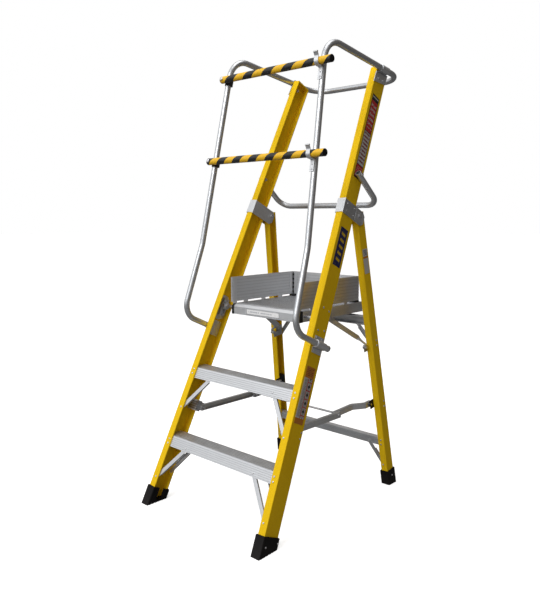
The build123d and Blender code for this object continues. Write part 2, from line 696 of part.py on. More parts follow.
nose_section = Polygon(
    (DECK_FRONT, DECK_BOTTOM),
    (DECK_FRONT, DECK_TOP - 12),
    (DECK_FRONT + 10, DECK_TOP - 1),
    (NOSE_REAR, DECK_TOP - 1),
    (NOSE_REAR, DECK_TOP - 20),
    (NOSE_REAR - 3, DECK_TOP - 20),
    (NOSE_REAR - 3, DECK_TOP - 4),
    (DECK_FRONT + 11, DECK_TOP - 4),
    (DECK_FRONT + 3, DECK_TOP - 13),
    (DECK_FRONT + 3, DECK_BOTTOM + 3),
    (DECK_FRONT + 16, DECK_BOTTOM + 3),
    (DECK_FRONT + 16, DECK_BOTTOM),
    align=None,
)
for rib in range(4):
    nose_section += Pos(DECK_FRONT + 14 + rib * 7.2, DECK_TOP - 1.0) * Rectangle(3.2, 2.0)
nose_section -= Pos(DECK_FRONT, DECK_BOTTOM + 5) * Circle(1.2)
nose_section -= Pos(DECK_FRONT, DECK_TOP - 15) * Circle(1.2)
nosing = SIDE.location * extrude(nose_section, 186.5, both=True)
save("platform_nosing", [nosing])

rear_section = Pos(844, DECK_TOP - 2.5) * Rectangle(38.0, 3.0)
rear_section += Pos(861.5, DECK_TOP - 24) * Rectangle(3.0, 44.0)
rear_section += Pos(826.5, DECK_TOP - 14) * Rectangle(3.0, 24.0)
rear_section += Pos(855, DECK_BOTTOM + 1.5) * Rectangle(16.0, 3.0)
for rib in range(4):
    rear_section += Pos(833 + rib * 7.2, DECK_TOP - 1.0) * Rectangle(3.2, 2.0)
save("platform_rear_channel", [SIDE.location * extrude(rear_section, 195.7, both=True)])

rail_low = (447.0, 863.0)
side_rail = block((196, DECK_HALF), rail_low, (DECK_BOTTOM, DECK_TOP))
side_rail += block((178, 197), (447.0, 824.0), (DECK_BOTTOM, DECK_BOTTOM + 3))
side_rail += block((198.5, 200.0), rail_low, (DECK_BOTTOM, DECK_BOTTOM + 4))
side_rail += block((198.5, 200.0), rail_low, (DECK_TOP - 4, DECK_TOP))
side_rail += block((196, DECK_HALF), (429, 448), (DECK_BOTTOM, DECK_TOP))
side_rail += block((189, 197), (429, 446.2), (DECK_BOTTOM + 4, DECK_TOP - 5))
side_rail -= rod(6.0 + RUNNING_FIT, PLATFORM_PIVOT, 180, 210)
side_rail -= rod(5.0, LINK_TOP, DECK_HALF, 210)
save("platform_side_rails", pair(side_rail))

cap_outline = [
    (DECK_FRONT - 1.5, DECK_BOTTOM - 1),
    (DECK_FRONT - 1.5, DECK_TOP - 12),
    (DECK_FRONT + 9, DECK_TOP + 0.6),
    (428.0, DECK_TOP + 0.6),
    (428.0, DECK_BOTTOM - 1),
]
corner_cap = prism(SIDE, cap_outline, 186.7, DECK_HALF + 1.0, 2.5)
rear_strip = block((168, DECK_HALF), (806, 834), (DECK_TOP + 0.2, TOE_BOTTOM - 0.1))
save("platform_corner_caps", pair(corner_cap) + pair(rear_strip))

save("platform_label", [block((-108, 88), (DECK_FRONT - 0.5, DECK_FRONT), (821, 844))])


# ---- Toe boards ----
def board_section():
    """Grooved board drawn as (thickness, height), outer face at x = 0."""
    height = TOE_TOP - TOE_BOTTOM
    section = Pos(-TOE_THICKNESS / 2, TOE_BOTTOM + height / 2) * Rectangle(TOE_THICKNESS, height)
    for groove in range(7):
        level = TOE_BOTTOM + 13 + groove * 14.2
        section -= Pos(0, level) * Rectangle(2.4, 4.0)
        section -= Pos(-TOE_THICKNESS, level) * Rectangle(2.4, 4.0)
    return section


CROSS = Plane(origin=(0, FOOT_Y, 0), x_dir=ACROSS, z_dir=(0, -1, 0))
side_board = CROSS.location * Pos(DECK_HALF, 0, -833) * extrude(board_section(), 432)
save("toe_board_right", [side_board])
save("toe_board_left", [opposite(side_board)])
rear_board = SIDE.location * Pos(833, 0, 0) * extrude(board_section(), 190.8, both=True)
save("toe_board_rear", [rear_board])

posts = []
post = block((166, 190.9), (822.6, 824.9), (TOE_BOTTOM, TOE_TOP - 4))
post += block((188.6, 190.9), (800, 824.9), (TOE_BOTTOM, TOE_TOP - 4))
posts += pair(post)
front_post = block((188.6, 190.9), (404, 428), (DECK_TOP + 0.7, TOE_TOP - 4))
posts += pair(front_post)
for back in (480, 600, 720):
    posts += pair(block((190.5, 198), (back, back + 22), (DECK_TOP, TOE_BOTTOM)))
for across in (-110, 0, 110):
    posts.append(block((across - 11, across + 11), (825.5, 832), (DECK_TOP, TOE_BOTTOM)))
save("toe_board_posts", posts)

# ---- Platform links ----
LINK_BEND = (765.0, 708.0)


def strip_outline(first, second, width):
    """Side-view outline of a straight strip with round ends."""
    run = Vector(second[0] - first[0], second[1] - first[1])
    angle = Vector(1, 0).get_signed_angle(run, Vector(0, 0, 1))
    centre = ((first[0] + second[0]) / 2, (first[1] + second[1]) / 2)
    outline = Pos(*centre) * Rot(0, 0, angle) * Rectangle(run.length, width)
    return outline + Pos(*first) * Circle(width / 2) + Pos(*second) * Circle(width / 2)


link_side = strip_outline(LINK_TOP, LINK_BEND, 25.0) + strip_outline(LINK_BEND, LINK_BOTTOM, 13.0)
link_face = SIDE.location * Pos(0, 0, 200) * extrude(link_side, 95)
link_sweep = bent_path(
    [at(209, 500, 860), at(209, 500, 795), at(245, 500, 706), at(283, 500, 683), at(283, 500, 640)],
    (30.0, 14.0, 8.0),
)
link_start = Plane(origin=link_sweep @ 0, x_dir=(0, 1, 0), z_dir=link_sweep % 0)
link_ribbon = sweep(link_start * (Pos(150, 0) * Rectangle(400, 5.0)), path=link_sweep)
link = link_face & link_ribbon
link += rod(8.5, LINK_TOP, 211.0, 215.0)
link -= rod(4.5 + RUNNING_FIT, LINK_BOTTOM, 260, 300)
save("platform_links", pair(link))

# Stubs on the platform that meet the links' upper ends across a small gap.
save("link_pins_upper", pair(rod(5.0, LINK_TOP, DECK_HALF, 206.5 - OPEN_GAP)))

# Brackets inside the rear leg channels, each with one ear ahead for the link's lower end.
link_bracket = leg_box((654, 704), (4, 45), (-33.3, -LEG_WALL - 0.1))
link_bracket += leg_box((656, 680), (-19, 30), (-36.6, -33.05))
link_bracket += rod(9.0, LINK_BOTTOM, 271.7, 275.2)
rear_pin = rod(4.5, LINK_BOTTOM, 270.5, 288.0) + rod(7.0, LINK_BOTTOM, 286.4, 289.4)
link_bracket -= rear_pin
save("rear_link_brackets", pair(link_bracket))

# ---- Spreaders ----
front_bracket = web_box((448, 496), (52, 77.5), (-62, -STILE_WALL))
front_bracket += web_box((454, 490), (70, 99), (-62, -37.0))
for finger in range(4):
    level = 455 + finger * 9.5
    front_bracket -= web_box((level, level + 3.5), (90, 110), (-63, -20))
    front_bracket -= web_box((level, level + 3.5), (50, 55), (-70, -10))
front_bracket -= rod(4.5, SPREADER_FRONT, 240, 300)
save("spreader_front_brackets", pair(front_bracket))


def arm_frame(start, end):
    """Frame at a pivot: x = across, y = along the arm, z = up."""
    run = at(0, end[0], end[1]) - at(0, start[0], start[1])
    run = run.normalized()
    return Plane(origin=at(0, start[0], start[1]), x_dir=ACROSS, z_dir=ACROSS.cross(run))


def pivot_gap(start, end):
    return (at(0, end[0], end[1]) - at(0, start[0], start[1])).length


ARM_HEIGHT = 26.0
front_arm_length = pivot_gap(SPREADER_FRONT, SPREADER_MIDDLE)
front_arm = Pos(256.5, front_arm_length / 2, 0) * Box(15, front_arm_length + 26, ARM_HEIGHT)
front_arm -= Pos(254.0, front_arm_length / 2, 0) * Box(15, front_arm_length + 60, ARM_HEIGHT - 5)
front_arm = arm_frame(SPREADER_FRONT, SPREADER_MIDDLE).location * front_arm
front_arm -= rod(4.5 + RUNNING_FIT, SPREADER_FRONT, 230, 290)
front_arm -= rod(4.0, SPREADER_MIDDLE, 230, 290)
save("spreader_front_arms", pair(front_arm))

rear_arm_length = pivot_gap(SPREADER_MIDDLE, SPREADER_REAR)
arm_plan = Polygon(
    (233.5, -14),
    (247.8, -14),
    (247.8, 124),
    (283.5, 176),
    (283.5, rear_arm_length + 14),
    (269.5, rear_arm_length + 14),
    (269.5, 180),
    (233.5, 128),
    align=None,
)
arm_hollow = Polygon(
    (230.5, -30),
    (245.2, -30),
    (245.2, 124.8),
    (280.9, 176.8),
    (280.9, rear_arm_length + 40),
    (262.0, rear_arm_length + 40),
    (262.0, 180),
    (230.5, 128),
    align=None,
)
rear_arm = Pos(0, 0, -ARM_HEIGHT / 2) * extrude(arm_plan, ARM_HEIGHT, dir=(0, 0, 1))
rear_arm -= Pos(0, 0, -ARM_HEIGHT / 2 + 2.5) * extrude(arm_hollow, ARM_HEIGHT - 5, dir=(0, 0, 1))
rear_arm = arm_frame(SPREADER_MIDDLE, SPREADER_REAR).location * rear_arm
TIE = (618.0, 388.5)
rear_arm += rod(7.0, SPREADER_MIDDLE, 231.0, 233.8)
rear_arm -= rod(4.5 + RUNNING_FIT, SPREADER_REAR, 255, 300)
save("spreader_rear_arms", pair(rear_arm))
save("spreader_cross_tie", [rod(4.5, TIE, -244.9, 244.9)])

middle_pin = rod(4.0, SPREADER_MIDDLE, 247.8 + OPEN_GAP, 266.0)
middle_pin += rod(7.0, SPREADER_MIDDLE, 264.0, 267.5)
save("spreader_pins", pair(middle_pin))
save("front_frame_pins", pair(hinge_pin) + pair(spreader_front_pin))

rear_spreader_bracket = leg_box((380, 428), (4, 45), (-33.3, -LEG_WALL - 0.1))
rear_spreader_bracket += leg_box((384, 424), (-24, 30), (-36.6, -33.05))
rear_spreader_bracket += rod(10.0, SPREADER_REAR, 287.1, 290.7)
rear_spreader_bracket -= rod(4.5, SPREADER_REAR, 250, 320)
save("rear_spreader_brackets", pair(rear_spreader_bracket))
rear_spreader_pin = rod(4.5, SPREADER_REAR, 267.0, 292.5)
rear_spreader_pin += rod(7.5, SPREADER_REAR, 266.0, 269.0)
save("rear_frame_pins", pair(rear_pin) + pair(rear_spreader_pin))
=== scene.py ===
import math

import bmesh
import bpy
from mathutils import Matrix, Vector


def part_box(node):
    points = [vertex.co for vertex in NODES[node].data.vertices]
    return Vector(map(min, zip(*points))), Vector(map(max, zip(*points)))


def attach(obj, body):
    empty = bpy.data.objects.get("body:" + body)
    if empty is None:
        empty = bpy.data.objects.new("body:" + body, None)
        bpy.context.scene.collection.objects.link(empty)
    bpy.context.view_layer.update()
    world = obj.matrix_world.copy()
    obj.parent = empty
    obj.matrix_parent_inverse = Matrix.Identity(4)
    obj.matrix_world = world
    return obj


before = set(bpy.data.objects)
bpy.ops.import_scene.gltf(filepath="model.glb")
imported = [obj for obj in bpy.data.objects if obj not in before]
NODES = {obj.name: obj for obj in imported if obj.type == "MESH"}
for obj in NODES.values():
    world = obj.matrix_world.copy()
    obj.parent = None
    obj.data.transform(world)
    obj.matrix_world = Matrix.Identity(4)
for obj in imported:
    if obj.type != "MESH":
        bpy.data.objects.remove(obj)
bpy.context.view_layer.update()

SCENE = bpy.context.scene

# ---------------------------------------------------------------- frame directions
LEAN = math.radians(24.82)       # front stiles lean back
LEG_LEAN = math.radians(8.84)    # rear legs lean forward
UP = Vector((0, math.sin(LEAN), math.cos(LEAN)))                 # along a front stile
BACK = Vector((0, math.cos(LEAN), -math.sin(LEAN)))              # across its side
LEG_UP = Vector((0, -math.sin(LEG_LEAN), math.cos(LEG_LEAN)))    # along a rear leg
LEG_BACK = Vector((0, math.cos(LEG_LEAN), math.sin(LEG_LEAN)))   # across its side
ACROSS = Vector((1, 0, 0))
HEIGHT = Vector((0, 0, 1))

# ---------------------------------------------------------------- colours
RESIN_DEEP = (0.74, 0.435, 0.002)
RESIN_BRIGHT = (0.93, 0.60, 0.006)
RESIN_STREAK = (0.80, 0.47, 0.003)
RESIN_CLOUD = (0.72, 0.41, 0.003)
RESIN_DIRT = (0.36, 0.20, 0.02)
RESIN_EDGE = (0.98, 0.72, 0.04)

METAL_LIGHT = (0.83, 0.85, 0.88)
METAL_DARK = (0.66, 0.68, 0.71)
METAL_EDGE = (0.93, 0.94, 0.96)
ZINC_LIGHT = (0.82, 0.82, 0.84)
ZINC_DARK = (0.60, 0.60, 0.62)

MOULDED_BLACK = (0.004, 0.004, 0.005)
MOULDED_SCUFFED = (0.010, 0.010, 0.011)
RUBBER_BLACK = (0.002, 0.002, 0.002)
RUBBER_SCUFFED = (0.005, 0.004, 0.004)

TAPE_YELLOW = (0.86, 0.50, 0.010)
TAPE_YELLOW_WORN = (0.66, 0.36, 0.02)
TAPE_BLACK = (0.012, 0.012, 0.013)
TAPE_BLACK_WORN = (0.05, 0.05, 0.05)

RED = (0.46, 0.012, 0.014)
INK = (0.006, 0.006, 0.007)
PAPER = (0.52, 0.50, 0.47)
ORANGE = (0.50, 0.17, 0.008)
NAVY = (0.006, 0.009, 0.085)
NAME_YELLOW = (0.62, 0.40, 0.006)
FILM_GRIME = (0.33, 0.30, 0.26)
LINES_MAROON = (0.20, 0.03, 0.03)
LINES_PINK = (0.60, 0.35, 0.32)
LINES_GREY = (0.20, 0.17, 0.16)
LINES_BROWN = (0.20, 0.05, 0.01)
LINES_BLACK = (0.08, 0.08, 0.08)
DECK_FILM = (0.86, 0.86, 0.86)
DECK_BORDER = (0.42, 0.43, 0.45)
DECK_BAR = (0.56, 0.57, 0.60)


def toned(colour, tone):
    return tuple(channel * tone for channel in colour)


def reach(node, direction):
    """Lowest and highest distance of a node's points along a direction."""
    spots = [vertex.co.dot(direction) for vertex in NODES[node].data.vertices]
    return min(spots), max(spots)


# ---------------------------------------------------------------- node helpers
def colour_sockets(sockets):
    """A Mix node has a socket of each kind; these are its colour ones."""
    return [socket for socket in sockets if socket.type == "RGBA"]


class Graph:
    """A material with short names for the nodes it is built from."""

    def __init__(self, name):
        self.material = bpy.data.materials.new(name)
        self.material.use_nodes = True
        self.tree = self.material.node_tree
        self.shader = self.tree.nodes["Principled BSDF"]
        self.coords = self.tree.nodes.new("ShaderNodeTexCoord").outputs["Object"]

    def link(self, source, target):
        self.tree.links.new(source, target)

    def set(self, **values):
        for key, value in values.items():
            self.shader.inputs[key.replace("_", " ")].default_value = value

    def mapped(self, scale, turn=(0, 0, 0)):
        node = self.tree.nodes.new("ShaderNodeMapping")
        node.inputs["Rotation"].default_value = turn
        node.inputs["Scale"].default_value = scale
        self.link(self.coords, node.inputs["Vector"])
        return node.outputs["Vector"]

    def noise(self, scale, detail, rough=0.55, vector=None):
        """Noise, even in all directions unless a stretched vector is given."""
        node = self.tree.nodes.new("ShaderNodeTexNoise")
        node.inputs["Scale"].default_value = scale
        node.inputs["Detail"].default_value = detail
        node.inputs["Roughness"].default_value = rough
        self.link(vector or self.coords, node.inputs["Vector"])
        return node.outputs["Fac"]

    def span(self, value, low, high, out_low=0.0, out_high=1.0):
        node = self.tree.nodes.new("ShaderNodeMapRange")
        node.inputs["From Min"].default_value = low
        node.inputs["From Max"].default_value = high
        node.inputs["To Min"].default_value = out_low
        node.inputs["To Max"].default_value = out_high
        self.link(value, node.inputs["Value"])
        return node.outputs["Result"]

    def math(self, kind, first, second=0.0):
        node = self.tree.nodes.new("ShaderNodeMath")
        node.operation = kind
        for socket, value in zip(node.inputs, (first, second)):
            if isinstance(value, (int, float)):
                socket.default_value = value
            else:
                self.link(value, socket)
        return node.outputs["Value"]

    def mix(self, factor, first, second):
        node = self.tree.nodes.new("ShaderNodeMix")
        node.data_type = "RGBA"
        self.link(factor, node.inputs["Factor"])
        for socket, value in zip(colour_sockets(node.inputs), (first, second)):
            if isinstance(value, tuple):
                socket.default_value = (*value, 1.0)
            else:
                self.link(value, socket)
        return colour_sockets(node.outputs)[0]

    def axis(self, index):
        node = self.tree.nodes.new("ShaderNodeSeparateXYZ")
        self.link(self.coords, node.inputs["Vector"])
        return node.outputs[index]

    def share(self, node_name, direction):
        """0 at one end of a CAD node and 1 at the other, along a direction."""
        node = self.tree.nodes.new("ShaderNodeVectorMath")
        node.operation = "DOT_PRODUCT"
        self.link(self.coords, node.inputs[0])
        node.inputs[1].default_value = direction
        low, high = reach(node_name, direction)
        return self.span(node.outputs["Value"], low, high)

    def within(self, value, low, high):
        """1 between two values, and 0 outside them."""
        above = self.math("GREATER_THAN", value, low)
        return self.math("MULTIPLY", above, self.math("LESS_THAN", value, high))

    def both(self, first, second):
        return self.math("MULTIPLY", first, second)

    def edges(self, strength):
        """Light wear where the surface turns outwards."""
        geometry = self.tree.nodes.new("ShaderNodeNewGeometry")
        return self.span(geometry.outputs["Pointiness"], 0.52, 0.62, 0.0, strength)

    def groove_shade(self, depth, strength):
        """Painted shade: darkness inside any groove narrower than about `depth` metres, found by
        ambient occlusion.
        """
        node = self.tree.nodes.new("ShaderNodeAmbientOcclusion")
        node.samples = 8
        node.only_local = True
        node.inputs["Distance"].default_value = depth
        return self.span(node.outputs["AO"], 0.35, 0.95, strength, 0.0)

    def bump(self, height, strength, distance):
        node = self.tree.nodes.new("ShaderNodeBump")
        node.inputs["Strength"].default_value = strength
        node.inputs["Distance"].default_value = distance
        self.link(height, node.inputs["Height"])
        self.link(node.outputs["Normal"], self.shader.inputs["Normal"])

    def colour(self, value):
        self.link(value, self.shader.inputs["Base Color"])

    def roughness(self, value):
        self.link(value, self.shader.inputs["Roughness"])


# ---------------------------------------------------------------- materials
def fibreglass(name, lean):
    """Pultruded yellow fibreglass: fine mottling, faint streaks along its length."""
    g = Graph(name)
    mottle = g.noise(scale=520.0, detail=4.0, rough=0.65)
    cloud = g.noise(scale=14.0, detail=3.0, rough=0.6)
    along = g.mapped((240, 240, 3.0), turn=(lean, 0, 0))
    streak = g.noise(scale=1.0, detail=3.0, rough=0.5, vector=along)
    dirt = g.noise(scale=95.0, detail=5.0, rough=0.7)
    base = g.mix(g.span(mottle, 0.36, 0.64), RESIN_DEEP, RESIN_BRIGHT)
    base = g.mix(g.span(streak, 0.40, 0.75, 0.0, 0.35), base, RESIN_STREAK)
    base = g.mix(g.span(cloud, 0.40, 0.75, 0.0, 0.25), base, RESIN_CLOUD)
    base = g.mix(g.span(dirt, 0.62, 0.80, 0.0, 0.35), base, RESIN_DIRT)
    g.colour(g.mix(g.edges(0.18), base, RESIN_EDGE))
    g.roughness(g.span(cloud, 0.3, 0.7, 0.46, 0.62))
    g.set(Specular_IOR_Level=0.05)
    g.bump(g.math("ADD", mottle, g.both(streak, 0.8)), strength=0.20, distance=0.0004)
    return g.material


def aluminium(name, fineness, tone, rough):
    """Mill-finish aluminium; die lines run along the axis whose `fineness` is lowest."""
    g = Graph(name)
    die = g.noise(scale=1.0, detail=4.0, rough=0.6, vector=g.mapped(fineness))
    smudge = g.noise(scale=22.0, detail=4.0, rough=0.6)
    pits = g.noise(scale=700.0, detail=2.0, rough=0.5)
    dark = toned(METAL_DARK, tone)
    base = g.mix(g.span(die, 0.3, 0.7), dark, toned(METAL_LIGHT, tone))
    base = g.mix(g.span(smudge, 0.45, 0.8, 0.0, 0.35), base, toned(dark, 0.92))
    base = g.mix(g.edges(0.5), base, METAL_EDGE)
    # Painted shade: the colour falls towards a quarter of the dark tone inside each narrow groove
    # and recess.
    g.colour(g.mix(g.groove_shade(depth=0.008, strength=0.36), base, toned(dark, 0.25)))
    g.roughness(g.span(smudge, 0.3, 0.7, rough - 0.06, rough + 0.10))
    g.set(Metallic=0.88)
    g.bump(g.math("ADD", die, g.both(pits, 0.5)), strength=0.10, distance=0.0003)
    return g.material


def steel(name):
    """Bright zinc-plated steel."""
    g = Graph(name)
    bloom = g.noise(scale=260.0, detail=3.0, rough=0.6)
    g.colour(g.mix(g.span(bloom, 0.35, 0.7), ZINC_DARK, ZINC_LIGHT))
    g.roughness(g.span(bloom, 0.3, 0.7, 0.22, 0.38))
    g.set(Metallic=1.0)
    g.bump(bloom, strength=0.08, distance=0.0003)
    return g.material


def plastic(name, clean, scuffed, rough, grain=1400.0, bump=0.25):
    """Moulded black plastic or rubber with a fine grain and scuffed edges."""
    g = Graph(name)
    grains = g.noise(scale=grain, detail=2.0, rough=0.5)
    scuff = g.noise(scale=60.0, detail=4.0, rough=0.65)
    base = g.mix(g.span(scuff, 0.4, 0.75), clean, scuffed)
    g.colour(g.mix(g.edges(0.5), base, tuple(channel * 3.2 + 0.01 for channel in scuffed)))
    g.roughness(g.span(scuff, 0.3, 0.7, rough - 0.06, rough + 0.08))
    g.set(Specular_IOR_Level=0.16)
    g.bump(grains, bump, distance=0.0004)
    return g.material


def hazard(name, node, pitch, axis_shift):
    """Helical black and yellow bands round a bar that lies along X."""
    g = Graph(name)
    low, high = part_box(node)
    centre = (low + high) / 2
    height = g.math("SUBTRACT", g.axis(2), centre.z)
    depth = g.math("SUBTRACT", g.axis(1), centre.y)
    angle = g.math("DIVIDE", g.math("ARCTAN2", height, depth), 2 * math.pi)
    turn = g.math("DIVIDE", g.math("SUBTRACT", g.axis(0), axis_shift), pitch)
    phase = g.math("FRACT", g.math("ADD", turn, angle))
    stripe = g.math("GREATER_THAN", phase, 0.5)
    wear = g.noise(scale=160.0, detail=4.0, rough=0.65)
    fine = g.noise(scale=900.0, detail=2.0, rough=0.5)
    yellow = g.mix(g.span(wear, 0.4, 0.8, 0.0, 0.5), TAPE_YELLOW, TAPE_YELLOW_WORN)
    black = g.mix(g.span(wear, 0.45, 0.8, 0.0, 0.6), TAPE_BLACK, TAPE_BLACK_WORN)
    g.colour(g.mix(stripe, yellow, black))
    g.roughness(g.span(wear, 0.3, 0.7, 0.34, 0.5))
    g.bump(g.math("ADD", fine, g.both(stripe, 0.6)), strength=0.12, distance=0.0004)
    return g.material


yellow_front = fibreglass("fibreglass_front", -LEAN)
yellow_rear = fibreglass("fibreglass_rear", LEG_LEAN)
alu_x = aluminium("aluminium_extruded", (2.5, 420, 420), tone=0.66, rough=0.46)
alu_deck = aluminium("aluminium_deck", (420, 2.5, 420), tone=0.50, rough=0.36)
alu_tube = aluminium("aluminium_tube", (160, 160, 160), tone=0.76, rough=0.38)
alu_sheet = aluminium("aluminium_sheet", (240, 60, 60), tone=0.68, rough=0.44)
alu_boards = aluminium("aluminium_boards", (3, 3, 420), tone=0.66, rough=0.40)
# Cast aluminium with its tone lowered to 0.42: painted shade, darkening these brackets as if they
# always sat in shadow.
alu_cast_shaded = aluminium("aluminium_cast_shaded", (300, 300, 300), tone=0.42, rough=0.50)
bright = steel("plated_steel")
black_plastic = plastic("black_plastic", MOULDED_BLACK, MOULDED_SCUFFED, rough=0.5)
black_rubber = plastic("black_rubber", RUBBER_BLACK, RUBBER_SCUFFED,
                       rough=0.62, grain=900.0, bump=0.4)
hazard_upper = hazard("hazard_upper", "gate_bar_upper", pitch=0.1105, axis_shift=0.094)
hazard_lower = hazard("hazard_lower", "gate_bar_lower", pitch=0.0957, axis_shift=0.0625)


# ---------------------------------------------------------------- printed films
# Places on a film are shares of its plate: `rise` along it from its lower end, `side` across it.
# Where the real films carry words or signs, these carry plain blocks and broken lines.
RATING_BLOCKS = [(0.015, 0.15, RED), (0.16, 0.55, PAPER), (0.56, 0.93, RED), (0.965, 0.98, PAPER)]
SAFETY_TABLE = (0.10, 0.80)
SAFETY_CELLS = 6.9               # cells along the whole label, if the table ran its full length
SPOT_MIDDLE = 0.73               # of the black diamonds, across the label
SPOT_SLOPES = (4.2, 2.6)         # how fast a diamond narrows, across and along the label
SPOT_LIMIT = 0.62
NAME_BARS = 6.0
NAME_SLANT = 0.35


def film(name, node, up, across, draw):
    """Printed film, scuffed, with the colours that `draw` gives."""
    g = Graph(name)
    colour = draw(g, g.share(node, up), g.share(node, across))
    scuff = g.noise(scale=120.0, detail=4.0, rough=0.6)
    g.colour(g.mix(g.span(scuff, 0.50, 0.80, 0.0, 0.30), colour, FILM_GRIME))
    g.roughness(g.span(scuff, 0.3, 0.7, 0.30, 0.45))
    g.set(Specular_IOR_Level=0.3)
    g.bump(scuff, strength=0.05, distance=0.0003)
    return g.material


def rows(g, rise, side, count, low, high, breaks):
    """Broken ruled lines between two heights, `count` to the whole label."""
    line = g.math("GREATER_THAN", g.math("FRACT", g.both(rise, count)), 0.5)
    gap = g.math("GREATER_THAN", g.noise(scale=170.0, detail=2.0), breaks)
    zone = g.both(g.within(rise, low, high), g.within(side, 0.12, 0.88))
    return g.both(g.both(line, gap), zone)


def rating_print(g, rise, side):
    """Red and pale blocks on black, with ruled lines in three of them."""
    body = g.within(side, 0.06, 0.94)
    colour = INK
    for low, high, shade in RATING_BLOCKS:
        colour = g.mix(g.both(body, g.within(rise, low, high)), colour, shade)
    colour = g.mix(rows(g, rise, side, 24, 0.17, 0.54, breaks=0.40), colour, LINES_MAROON)
    colour = g.mix(rows(g, rise, side, 18, 0.60, 0.89, breaks=0.48), colour, PAPER)
    return g.mix(rows(g, rise, side, 44, 0.03, 0.13, breaks=0.52), colour, LINES_PINK)


def safety_print(g, rise, side):
    """Orange ends and a pale table of ruled lines, with a column of spotted cells over half."""
    table = g.within(rise, *SAFETY_TABLE)
    cells = g.both(rise, SAFETY_CELLS)
    colour = g.mix(table, ORANGE, PAPER)
    colour = g.mix(rows(g, rise, side, 60, 0.12, 0.78, breaks=0.42), colour, LINES_GREY)
    uprights = g.math("MAXIMUM", g.within(side, 0.46, 0.52), g.within(side, 0.94, 1.0))
    rungs = g.both(g.math("LESS_THAN", g.math("FRACT", cells), 0.10), g.within(side, 0.50, 0.94))
    colour = g.mix(g.both(g.math("MAXIMUM", uprights, rungs), table), colour, RED)
    off_side = g.math("ABSOLUTE", g.math("SUBTRACT", side, SPOT_MIDDLE))
    in_cell = g.math("FRACT", g.math("SUBTRACT", cells, 0.05))
    off_rise = g.math("ABSOLUTE", g.math("SUBTRACT", in_cell, 0.5))
    slope_side, slope_rise = SPOT_SLOPES
    distance = g.math("ADD", g.both(off_side, slope_side), g.both(off_rise, slope_rise))
    colour = g.mix(g.both(g.math("LESS_THAN", distance, SPOT_LIMIT), table), colour, INK)
    return g.mix(rows(g, rise, side, 34, 0.83, 0.97, breaks=0.46), colour, LINES_BROWN)


def name_print(g, rise, side):
    """Slanted yellow bars on navy."""
    slant = g.math("ADD", g.both(rise, NAME_BARS), g.both(side, NAME_SLANT))
    bar = g.math("LESS_THAN", g.math("FRACT", slant), 0.42)
    zone = g.both(g.within(rise, 0.05, 0.95), g.within(side, 0.24, 0.78))
    return g.mix(g.both(bar, zone), NAVY, NAME_YELLOW)


def leg_print(g, rise, side):
    """Pale film with one orange band and ruled lines above it."""
    colour = g.mix(g.within(rise, 0.62, 0.70), PAPER, ORANGE)
    return g.mix(rows(g, rise, side, 22, 0.72, 0.96, breaks=0.40), colour, LINES_BLACK)


def deck_print(g, rise, side):
    """Light film with a grey border and one dashed bar."""
    inner = g.both(g.within(rise, 0.08, 0.92), g.within(side, 0.015, 0.985))
    colour = g.mix(inner, DECK_BORDER, DECK_FILM)
    bar = g.both(g.within(rise, 0.36, 0.62), g.within(side, 0.06, 0.80))
    dashes = g.noise(scale=1.0, detail=2.0, vector=g.mapped((160, 1, 1)))
    return g.mix(g.both(bar, g.math("GREATER_THAN", dashes, 0.45)), colour, DECK_BAR)


rating_film = film("film_rating", "rating_label", UP, BACK, rating_print)
safety_film = film("film_safety", "safety_label", UP, BACK, safety_print)
name_film = film("film_name", "name_label", UP, BACK, name_print)
leg_film = film("film_leg", "rear_leg_label", LEG_UP, LEG_BACK, leg_print)
deck_film = film("film_deck", "platform_label", HEIGHT, ACROSS, deck_print)

# ---------------------------------------------------------------- which node has which finish
FINISH = {
    yellow_front: ["front_stile_left", "front_stile_right", "stile_top_caps"],
    yellow_rear: ["rear_leg_left", "rear_leg_right"],
    black_rubber: ["front_feet", "rear_feet"],
    alu_x: ["lower_step", "upper_step", "rear_lower_bar", "rear_upper_bar",
            "platform_nosing", "platform_rear_channel", "platform_side_rails", "toe_board_rear"],
    alu_deck: ["platform_deck"],
    alu_boards: ["toe_board_left", "toe_board_right"],
    alu_tube: ["guard_rail", "knee_rail"],
    alu_sheet: ["step_braces", "platform_brackets", "hinge_bracket_left", "hinge_bracket_right",
                "guard_rail_saddles", "guard_rail_top_brackets", "gate_hook_upper",
                "gate_hook_lower", "rear_braces", "toe_board_posts", "platform_links",
                "spreader_front_arms", "spreader_rear_arms"],
    # painted shade: these brackets take the darkened cast aluminium
    alu_cast_shaded: ["spreader_front_brackets", "rear_link_brackets"],
    black_plastic: ["guard_rail_plugs", "gate_pivot_clips", "hinge_bushes",
                    "rear_spreader_brackets", "platform_corner_caps", "gate_bar_upper_caps",
                    "gate_bar_lower_caps"],
    bright: ["front_frame_rivets", "platform_pivot_pins", "front_frame_pins",
             "guard_rail_screws", "knee_rail_bolts", "gate_pivot_bolts", "rear_frame_rivets",
             "rear_frame_pins", "link_pins_upper", "spreader_pins", "spreader_cross_tie"],
    rating_film: ["rating_label"],
    name_film: ["name_label"],
    safety_film: ["safety_label"],
    leg_film: ["rear_leg_label"],
    deck_film: ["platform_label"],
    hazard_upper: ["gate_bar_upper"],
    hazard_lower: ["gate_bar_lower"],
}
for finish, names in FINISH.items():
    for name in names:
        node = NODES[name]
        if not node.material_slots:
            node.data.materials.append(finish)
        for place in node.material_slots:
            place.material = finish

# ---------------------------------------------------------------- toe board dark corner lines
PLATE = 0.0024          # angle plate inside each rear corner, with its clearance
BEAD_RADIUS = 0.0017
BEAD_END = BEAD_RADIUS * 0.6
BEAD_FOOT = 0.001       # the bead starts this far above the board's lower edge
BEAD_SHORT = 0.006      # and is this much shorter than the board
LUG_RADIUS = 0.0034
LUG_END = LUG_RADIUS * 0.55
LUG_BEVEL = 0.0016
LUG_HEIGHT = 0.011
LUGS = 5


